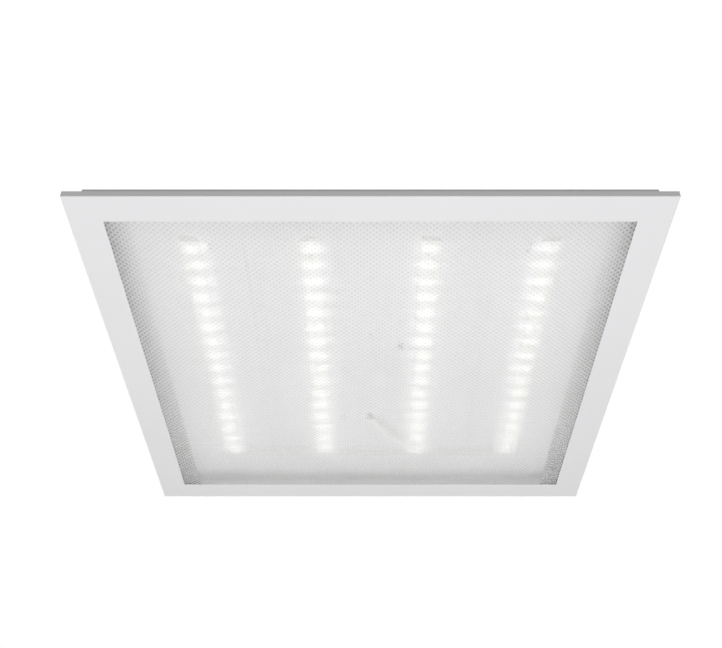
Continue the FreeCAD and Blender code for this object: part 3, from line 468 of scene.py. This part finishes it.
@dataclass(frozen=True)
class Striped(Finish):
    """Two colours in bands across one direction, such as wound wire or an earth lead.

    `share` is the stripe's part of each band, `edge` the softness of its borders, and `ridge` the height
    of a ridge along each band, or 0 for a plain fine grain.
    """

    name: str
    colour: Colour
    stripe: Colour
    pitch: float
    turn: Triple
    share: float = 0.5
    edge: float = 0.05
    roughness: float = 0.4
    wander: Pair = (-0.08, 0.08)
    gloss_patch: float = 3.0 * MM
    metallic: float = 0.0
    ridge: float = 0.0
    grain: float = 1.0 * MM
    grain_depth: float = 0.01 * MM

    def wire(self, surface: Surface) -> None:
        """Wires the bands, and a ridge along each where there is one.

        Args:
            surface: The material to wire.
        """
        turned = {"Vector": surface.place, "Rotation": self.turn}
        aim = surface.feed(surface.add("ShaderNodeMapping"), turned).outputs["Vector"]
        bands = surface.feed(surface.add("ShaderNodeTexWave"), {
            "Vector": aim,
            "Scale": math.tau / WAVE_TURN / self.pitch,
        }).outputs["Fac"]
        border = 1 - self.share
        striped = surface.spread(bands, 0.0, 1.0, border - self.edge, border + self.edge)
        surface.coat({
            "Base Color": surface.blend(striped, self.colour, self.stripe),
            "Roughness": surface.about(surface.noise(self.gloss_patch), self.roughness, self.wander),
            "Metallic": self.metallic,
        })
        surface.relief(bands if self.ridge else surface.noise(self.grain), self.ridge or self.grain_depth)


@dataclass(frozen=True)
class Circuit(Finish):
    """A printed board: solder mask over tracks that stand a little proud."""

    name: str
    mask: Colour
    track: Colour
    cell: float
    disorder: float = 0.35
    track_edge: Pair = (0.10, 0.14)
    track_height: float = 0.035 * MM
    roughness: float = 0.35
    wander: Pair = (-0.06, 0.06)
    gloss_patch: float = 4.0 * MM

    def wire(self, surface: Surface) -> None:
        """Wires tracks along the borders of nearly square cells.

        Args:
            surface: The material to wire.
        """
        cells = surface.feed(surface.add("ShaderNodeTexVoronoi", feature="DISTANCE_TO_EDGE"), {
            "Vector": surface.place,
            "Scale": 1 / self.cell,
            "Randomness": self.disorder,
        })
        tracks = surface.spread(cells.outputs["Distance"], 1.0, 0.0, *self.track_edge)
        surface.coat({
            "Base Color": surface.blend(tracks, self.mask, self.track),
            "Roughness": surface.about(surface.noise(self.gloss_patch), self.roughness, self.wander),
        })
        surface.relief(tracks, self.track_height)


@dataclass(frozen=True)
class LampGlow(Finish):
    """A phosphor face that gives off light."""

    name: str
    colour: Colour
    strength: float
    roughness: float = 0.5
    shades: Pair = (0.9, 1.0)
    grain: float = 0.4 * MM

    def wire(self, surface: Surface) -> None:
        """Wires a faintly grained phosphor that glows evenly.

        Args:
            surface: The material to wire.
        """
        surface.coat({
            "Base Color": surface.shaded(surface.noise(self.grain), self.colour, self.shades),
            "Roughness": self.roughness,
            "Emission Color": (*self.colour, 1.0),
            "Emission Strength": self.strength,
        })


@dataclass(frozen=True)
class ClearPlastic(Finish):
    """Clear moulded plastic that bends light, hazy like a pressed sheet, with painted shade that darkens
    each prism's tip into a hatch.

    Near the two sides the tips carry more painted shade, which stands for the tray's shaded side walls
    seen through them.
    """

    name: str
    tint: Colour
    roughness: float
    bending: float
    prism_step: float
    wander: Pair = (-0.027, 0.027)
    haze_patch: float = 20.0 * MM
    tip_reach: float = 0.9
    painted_tip_shade: float = 0.85
    painted_side_wall_shade: float = 0.56
    side_start: float = 236.0 * MM
    side_end: float = 262.0 * MM

    def wire(self, surface: Surface) -> None:
        """Wires clear plastic with painted shade that darkens towards the prisms' tips, and more near the
        two sides.

        Args:
            surface: The material to wire.
        """
        # Painted shade: the base colour darkens at each prism's tip, and more near the two sides, where
        # it stands for the tray's shaded walls.
        tip_shade_mask = surface.spread(surface.lattice(self.prism_step), 0.0, 1.0, end=self.tip_reach)
        far_out = surface.sum("ABSOLUTE", surface.along("X"))
        side = surface.spread(far_out, 0.0, 1.0, self.side_start, self.side_end)
        painted_shade = surface.shaded(side, self.tint, (self.painted_tip_shade, self.painted_side_wall_shade))
        surface.coat({
            "Base Color": surface.blend(tip_shade_mask, self.tint, painted_shade),
            "Roughness": surface.about(surface.noise(self.haze_patch), self.roughness, self.wander),
            "IOR": self.bending,
            "Transmission Weight": 1.0,
        })


# The wave texture turns by this many radians for each unit of its scaled place.
WAVE_TURN = 20.0
PRISM_STEP = 3.33 * MM
STRAIGHT: Triple = (0.0, 0.0, 0.0)
SLANTED: Triple = (0.0, 0.0, math.radians(60))
LEAD = {"roughness": 0.38, "grain": 1.0 * MM, "grain_depth": 0.01 * MM}
FINISHES: dict[str, Finish] = {
    finish.name: finish
    for finish in (
        Paint("frame_paint", (0.83, 0.828, 0.84)),
        Paint("tray_paint", (0.80, 0.80, 0.80), roughness=0.5),
        ClearPlastic("lens_plastic", (0.98, 0.98, 0.978), 0.135, 1.49, PRISM_STEP),
        Moulded("gasket_foam", (0.74, 0.74, 0.73), 0.85, 0.8 * MM, 0.15 * MM),
        Metal("galvanised_steel", (0.50, 0.52, 0.54), Skin.SPANGLE, 0.38),
        Metal("zinc_screw", (0.74, 0.76, 0.79), Skin.PLATED, 0.26),
        Circuit("board_mask", (0.86, 0.86, 0.85), (0.80, 0.80, 0.78), 9.0 * MM),
        LampGlow("led_phosphor", (1.0, 0.98, 0.94), 0.15),
        Moulded("white_nylon", (0.84, 0.84, 0.83), 0.42),
        TwoTone("aluminium_rivet", (0.80, 0.80, 0.81), (0.78, 0.79, 0.80), 24.5 * MM),
        Moulded("driver_plastic", (0.70, 0.71, 0.72), 0.55, 0.35 * MM, 0.03 * MM),
        Circuit("circuit_board", (0.05, 0.24, 0.11), (0.10, 0.36, 0.17), 4.0 * MM),
        Moulded("ferrite", (0.07, 0.07, 0.075), 0.6, 0.3 * MM, 0.03 * MM, speckle=0.3),
        Striped("copper_winding", (0.66, 0.30, 0.13), (0.42, 0.16, 0.06), 0.5 * MM, STRAIGHT,
                metallic=0.8, ridge=0.15 * MM),
        TwoTone("capacitor_can", (0.05, 0.06, 0.08), (0.78, 0.79, 0.80), 44.9 * MM),
        Moulded("terminal_white", (0.80, 0.80, 0.78), 0.5),
        Moulded("button_orange", (0.85, 0.27, 0.03), 0.45),
        Metal("brass_clamp", (0.80, 0.60, 0.27), Skin.PLATED, 0.3),
        TwoTone("inlet_rubber", (0.86, 0.86, 0.86), (0.13, 0.13, 0.135), 25.9 * MM,
                metal_above=0.0, roughness=0.6),
        Moulded("lead_brown", (0.22, 0.09, 0.04), **LEAD),
        Moulded("lead_blue", (0.03, 0.20, 0.58), **LEAD),
        Striped("lead_green", (0.02, 0.30, 0.06), (0.85, 0.72, 0.03), 3.5 * MM, SLANTED, share=0.4),
        Moulded("lead_white", (0.95, 0.95, 0.94), speckle=0.01, **LEAD),
    )
}


def dress_frame() -> None:
    """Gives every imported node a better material, by the slot that its plain one is named for."""
    for node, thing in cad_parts.items():
        for holder in thing.material_slots:
            holder.material = FINISHES[holder.material.name].material
        LOG.info("dressed %s", node)


def hand_over(piece: bpy.types.Object, body: str, node: str) -> None:
    """Puts a finished piece on its body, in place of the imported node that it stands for.

    Args:
        piece: The finished piece.
        body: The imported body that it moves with.
        node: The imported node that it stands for.
    """
    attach(piece, body)
    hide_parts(node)
    LOG.info("made %s, %d faces", piece.name, len(piece.data.polygons))


# ---------------------------------------------------------------- the lens


@dataclass
class PrismLens:
    """The clear sheet whose underside is a lattice of small pyramids, set cornerwise to the frame.

    The lattice has a point every `prism_step` along X and Y, and every other point is a prism's tip.
    """

    prism_step: float = PRISM_STEP
    prism_depth: float = 0.15 * MM
    flat_margin: float = 12.0 * MM
    side_start: float = 240.0 * MM
    side_depth: float = 0.45 * MM
    border_slack: float = 0.3 * MM

    @cached_property
    def corners(self) -> tuple[Vector, Vector]:
        """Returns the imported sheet's lowest and highest corners."""
        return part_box("prismatic_lens")

    @cached_property
    def steps(self) -> int:
        """Returns the even number of lattice steps that fits between the flat margins."""
        low, high = self.corners
        return int((high.x - low.x - 2 * self.flat_margin) / self.prism_step / 2) * 2

    @cached_property
    def width(self) -> float:
        """Returns the lattice's width."""
        return self.steps * self.prism_step

    def build(self) -> bpy.types.Object:
        """Builds the lens sheet, prisms down.

        Returns:
            The sheet.
        """
        base = self.corners[0].z + self.prism_depth + self.side_depth
        deselect()
        bpy.ops.mesh.primitive_grid_add(
            x_subdivisions=self.steps, y_subdivisions=self.steps, size=self.width, location=(0, 0, base)
        )
        lens = named("lens_prisms")
        settle(lens)
        self._point(lens)
        self._split(lens)
        self._close(lens)
        lens.data.materials.append(FINISHES["lens_plastic"].material)
        return lens

    def _step(self, place: Vector) -> tuple[int, int]:
        """Returns the column and row of a lattice point."""
        return tuple(round((value + self.width / 2) / self.prism_step) for value in place[:2])

    def _is_tip(self, place: Vector) -> bool:
        """Says whether a lattice point is a prism's tip, which none on the lattice's border is."""
        column, row = self._step(place)
        return (column + row) % 2 == 0 and 0 < column < self.steps and 0 < row < self.steps

    def _point(self, lens: bpy.types.Object) -> None:
        """Draws the prisms' tips down, and further down near the two sides.

        Args:
            lens: The flat lattice.
        """
        for beyond, depth in ((0.0, self.prism_depth), (self.side_start, self.side_depth)):
            pick(lens, Part.VERTEX, lambda v: abs(v.co.x) >= beyond and self._is_tip(v.co))
            bpy.ops.transform.translate(value=(0, 0, -depth))
            done()

    def _split(self, lens: bpy.types.Object) -> None:
        """Splits each square along the valley between its two tips.

        Args:
            lens: The pointed lattice.
        """
        mesh = lens.data
        first = [mesh.vertices[face.vertices[0]].co for face in mesh.polygons]
        tips = [sum(self._step(place)) % 2 == 0 for place in first]
        pick(lens, Part.FACE, lambda face: tips[face.index])
        bpy.ops.mesh.quads_convert_to_tris(quad_method="FIXED_ALTERNATE")
        done()
        pick(lens, Part.FACE, lambda face: len(face.vertices) == 4)
        bpy.ops.mesh.quads_convert_to_tris(quad_method="FIXED")
        done()

    def _close(self, lens: bpy.types.Object) -> None:
        """Adds the flat margin, the sides and the smooth upper face.

        Args:
            lens: The lattice of prisms.
        """
        places = [vertex.co for vertex in lens.data.vertices]
        border = self.width / 2 - self.border_slack
        high = self.corners[1]
        rise = high.z - places[0].z
        full = 2 * high.x / self.width
        pick(lens, Part.EDGE, lambda edge: all(
            max(abs(places[v].x), abs(places[v].y)) > border for v in edge.vertices
        ))
        bpy.ops.mesh.extrude_region()
        bpy.ops.transform.resize(value=(full, full, 1))
        bpy.ops.mesh.extrude_region()
        bpy.ops.transform.translate(value=(0, 0, rise))
        bpy.ops.mesh.edge_face_add()
        bpy.ops.mesh.select_all(action="SELECT")
        bpy.ops.mesh.normals_make_consistent(inside=False)
        done()


# ---------------------------------------------------------------- the light rows


@dataclass
class LightRow:
    """One board's row of LED packages: nylon bodies, each with a phosphor face inset in its underside."""

    board: int
    count: int = 16
    depth: float = 3.5 * MM
    rim: float = 0.35 * MM

    def places(self) -> list[Pair]:
        """Finds the packages along their board.

        Returns:
            The middle of every package, along X and Y.
        """
        low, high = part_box(f"led_row_{self.board}")
        pitch = (high.y - low.y - self.depth) / (self.count - 1)
        first = low.y + self.depth / 2
        return [((low.x + high.x) / 2, first + step * pitch) for step in range(self.count)]

    def build(self) -> bpy.types.Object:
        """Builds the row of packages below its board.

        Returns:
            The row.
        """
        low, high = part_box(f"led_row_{self.board}")
        (x, y), (_, second) = self.places()[:2]
        deselect()
        bpy.ops.mesh.primitive_cube_add(size=1, location=(x, y, (low.z + high.z) / 2))
        row = named(f"led_packages_{self.board}")
        row.scale = (high.x - low.x, self.depth, high.z - low.z)
        settle(row)
        self._inset_phosphor(row)
        array = row.modifiers.new("along_board", "ARRAY")
        array.use_relative_offset = False
        array.use_constant_offset = True
        array.constant_offset_displace = (0, second - y, 0)
        array.count = self.count
        apply_modifiers(row)
        return row

    def _inset_phosphor(self, package: bpy.types.Object) -> None:
        """Insets the underside of a package and gives the inset face the phosphor.

        Args:
            package: A plain block.
        """
        slots = ("white_nylon", "led_phosphor")
        for slot in slots:
            package.data.materials.append(FINISHES[slot].material)
        underside = min(face.center.z for face in package.data.polygons)
        pick(package, Part.FACE, lambda face: face.center.z == underside)
        bpy.ops.mesh.inset(thickness=self.rim)
        package.active_material_index = slots.index("led_phosphor")
        bpy.ops.object.material_slot_assign()
        done()


# ---------------------------------------------------------------- the studio


class Outline(Enum):
    """The outline of a lamp's face."""

    OBLONG = "RECTANGLE"
    OVAL = "ELLIPSE"


@dataclass(frozen=True)
class Lamp:
    """One soft lamp: its place, what it shines at, its width and length, and its power in watts.

    Where `mirrored` is false, the lens and the paint don't show the lamp's own reflection.
    """

    name: str
    place: Triple
    aim: Triple
    size: Pair
    power: float
    outline: Outline = Outline.OBLONG
    mirrored: bool = True

    def hang(self) -> None:
        """Adds the lamp to the scene."""
        deselect()
        bpy.ops.object.light_add(type="AREA", location=self.place)
        lamp = bpy.context.object
        lamp.name = self.name
        lamp.data.shape = self.outline.value
        lamp.data.size, lamp.data.size_y = self.size
        lamp.data.energy = self.power
        lamp.visible_glossy = self.mirrored
        lamp.rotation_euler = (Vector(self.aim) - Vector(self.place)).to_track_quat("-Z", "Y").to_euler()


@dataclass(frozen=True)
class FlatGlow:
    """A flat patch of light in the tray: its middle along Y, its width and length, and its power."""

    name: str
    y: float
    size: Pair
    power: float


@dataclass(frozen=True)
class WallGlow:
    """A strip of light along a wall of the tray: the wall's direction, the length and the power."""

    name: str
    wall: Pair
    length: float
    power: float


@dataclass
class TrayLight:
    """Soft lamps that stand for the diodes' light inside the tray.

    Flat glows lie one above the other over the lens and shine up, strips shine at the walls, and a halo
    below each package shows it through the lens. The lens's bending draws the rows' images towards the
    middle, most at the near end, so `draw_in` gives the halos' share of their row's distance from the
    middle at the near and the far end. `halo_powers` are those of the same two ends. `strip_foot` and
    `strip_aim` are how far the strips and the points that they shine at lie inside the tray's side.
    """

    flat_glows: tuple[FlatGlow, ...] = (
        FlatGlow("cavity_glow", 6.0 * MM, (530.0 * MM, 512.0 * MM), 0.273),
        FlatGlow("core_glow", -40.0 * MM, (400.0 * MM, 300.0 * MM), 0.008),
        FlatGlow("far_glow", 155.0 * MM, (530.0 * MM, 110.0 * MM), 0.0065),
        FlatGlow("edge_glow", 255.0 * MM, (530.0 * MM, 40.0 * MM), 0.0040),
    )
    flat_rise: float = 0.4 * MM
    flat_step: float = 0.1 * MM
    wall_glows: tuple[WallGlow, ...] = (
        WallGlow("wall_glow", (0, 1), 530.0 * MM, 0.014),
        WallGlow("left_glow", (-1, 0), 500.0 * MM, 0.011),
        WallGlow("right_glow", (1, 0), 500.0 * MM, 0.011),
    )
    strip_width: float = 10.0 * MM
    strip_rise: float = 1.2 * MM
    strip_foot: float = 26.0 * MM
    strip_aim: float = 1.0 * MM
    strip_aim_level: float = 15.0 * MM
    halo_size: Pair = (30.0 * MM, 5.0 * MM)
    halo_level: float = 16.0 * MM
    halo_powers: Pair = (0.00048, 0.00064)
    draw_in: Pair = (0.962, 0.987)

    def hang(self) -> None:
        """Adds the glows, the strips and the halos to the scene."""
        for lamp in (*self._flat(), *self._strips(), *self._halos()):
            lamp.hang()

    def _flat(self) -> list[Lamp]:
        """Lays the flat glows out over the lens.

        Returns:
            Their lamps, each a little above the one before it.
        """
        lens_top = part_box("prismatic_lens")[1].z
        lamps = []
        for number, glow in enumerate(self.flat_glows):
            level = lens_top + self.flat_rise + number * self.flat_step
            lamps.append(Lamp(glow.name, (0, glow.y, level), (0, glow.y, 1), glow.size, glow.power))
        return lamps

    def _strips(self) -> list[Lamp]:
        """Lays the strips out along the far wall and the two side walls.

        Returns:
            Their lamps, tilted at the walls.
        """
        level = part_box("prismatic_lens")[1].z + self.strip_rise
        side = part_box("back_tray")[1].x
        foot, target = side - self.strip_foot, side - self.strip_aim
        lamps = []
        for glow in self.wall_glows:
            x, y = glow.wall
            place, aim = (x * foot, y * foot, level), (x * target, y * target, self.strip_aim_level)
            lamps.append(Lamp(glow.name, place, aim, (glow.length, self.strip_width), glow.power))
        return lamps

    def _halos(self) -> list[Lamp]:
        """Lays a halo out for every package.

        Returns:
            Their lamps, which shine up.
        """
        near, far = (Vector(pair) for pair in zip(self.draw_in, self.halo_powers))
        lamps = []
        for board in BOARDS:
            places = LightRow(board).places()
            for number, (x, y) in enumerate(places):
                inward, power = near.lerp(far, number / (len(places) - 1))
                place, aim = (x * inward, y, self.halo_level), (x * inward, y, 1)
                name = f"halo_{board}_{number + 1}"
                lamps.append(Lamp(name, place, aim, self.halo_size, power, Outline.OVAL))
        return lamps


@dataclass
class Studio:
    """The camera at the photograph's angle, a pale floor, a white world and the lamps.

    `tilt` is in degrees up from straight down, and `right_of_middle` is how many of the photograph's
    pixels the object lies right of its middle. The three levels of the floor and of the world are what
    the object is lit by, what gloss and clear plastic show, and what the camera sees.
    """

    focal_length: float = 47.37
    tilt: float = 128.67
    place: Triple = (0.0, -0.9317, -0.6640)
    right_of_middle: float = 9.4
    floor_drop: float = 1.6
    floor_side: float = 40.0
    floor_colour: Colour = (0.8, 0.8, 0.8)
    floor_roughness: float = 0.9
    floor_levels: Triple = (0.0, 0.25, 0.5)
    world_levels: Triple = (0.36, 0.65, 1.0)
    room_lamps: tuple[Lamp, ...] = (
        Lamp("under_key", (0.0, -0.29, -1.5), (0, 0, 0), (1.6, 1.6), 21.7, mirrored=False),
        Lamp("top_soft", (0.4, 0.9, 1.7), (0, 0, 0), (1.6, 1.6), 20.0),
    )

    def build(self) -> None:
        """Sets up the camera, the floor, the lamps and the world."""
        self._camera()
        self._floor()
        for lamp in self.room_lamps:
            lamp.hang()
        TrayLight().hang()
        self._world()

    def _camera(self) -> None:
        """Puts the camera below the near edge, tilted up at the lit face."""
        deselect()
        bpy.ops.object.camera_add(location=self.place, rotation=(math.radians(self.tilt), 0, 0))
        camera = bpy.context.object
        camera.name = "camera"
        camera.data.lens = self.focal_length
        camera.data.shift_x = -self.right_of_middle / PHOTO_WIDTH
        bpy.context.scene.camera = camera

    def _floor(self) -> None:
        """Lays a pale floor that keeps the object's shadow."""
        deselect()
        bpy.ops.mesh.primitive_plane_add(size=self.floor_side, location=(0, 0, -self.floor_drop))
        floor = named("floor")
        surface = Surface("floor_pale")
        surface.coat({
            "Base Color": (*self.floor_colour, 1.0),
            "Roughness": self.floor_roughness,
            "Emission Color": (1.0, 1.0, 1.0, 1.0),
            "Emission Strength": surface.by_ray(*self.floor_levels),
        })
        floor.data.materials.append(surface.material)

    def _world(self) -> None:
        """Surrounds all with white."""
        world = bpy.data.worlds.new("studio_white")
        bpy.context.scene.world = world
        world.use_nodes = True
        wiring = Wiring(world.node_tree)
        wiring.feed(world.node_tree.nodes["Background"], {
            "Color": (1.0, 1.0, 1.0, 1.0),
            "Strength": wiring.by_ray(*self.world_levels),
        })


# ---------------------------------------------------------------- the build


def main() -> None:
    """Builds the light's visible pieces and the studio round them."""
    logging.basicConfig(level=logging.INFO)
    bpy.context.scene.view_settings.view_transform = "Standard"
    dress_frame()
    for board in BOARDS:
        hand_over(LightRow(board).build(), "light", f"led_row_{board}")
    hand_over(PrismLens().build(), "light", "prismatic_lens")
    Studio().build()


if __name__ == "__main__":
    main()
